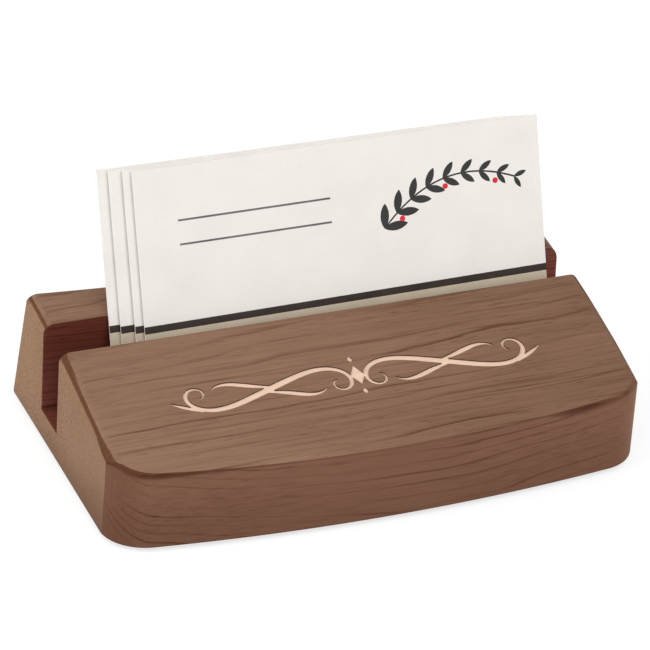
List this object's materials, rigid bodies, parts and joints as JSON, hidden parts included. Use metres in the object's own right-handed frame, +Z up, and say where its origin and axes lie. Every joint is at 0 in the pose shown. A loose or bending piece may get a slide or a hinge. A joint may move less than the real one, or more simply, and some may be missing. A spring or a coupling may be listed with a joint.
{
  "type": "business card holder stand",
  "caption": "Solid wood desk stand with an arched top, bowed front and full-length slot; business cards lean in the slot and lift out.",
  "frame": {"origin": "on the desk, under the middle of the part's outline", "axes": "+X along the slot, -Y towards the bowed front, +Z up"},
  "size_m": [0.1142, 0.0686, 0.056],
  "materials": {
    "wood": "satin lacquer over brown stained wood",
    "felt": "dense pressed felt",
    "card_stock": "smooth uncoated card with a printed stripe and band"
  },
  "bodies": {
    "holder": {"holder_block": "wood", "foot_front_left": "felt", "foot_front_right": "felt", "foot_back_left": "felt", "foot_back_right": "felt"},
    "card_front": {"card_front": "card_stock"},
    "card_second": {"card_second": "card_stock"},
    "card_third": {"card_third": "card_stock"},
    "card_rear": {"card_rear": "card_stock"}
  },
  "joints": [
    {"name": "card_front_lift", "type": "slide", "parent": "holder", "child": "card_front", "axis": [0, 0.3104, 0.9506], "range_m": [0, 0.03]},
    {"name": "card_second_lift", "type": "slide", "parent": "holder", "child": "card_second", "axis": [0.0016, 0.3103, 0.9506], "range_m": [0, 0.03]},
    {"name": "card_third_lift", "type": "slide", "parent": "holder", "child": "card_third", "axis": [0.0033, 0.3103, 0.9506], "range_m": [0, 0.03]},
    {"name": "card_rear_lift", "type": "slide", "parent": "holder", "child": "card_rear", "axis": [0.0049, 0.3103, 0.9506], "range_m": [0, 0.03]}
  ]
}
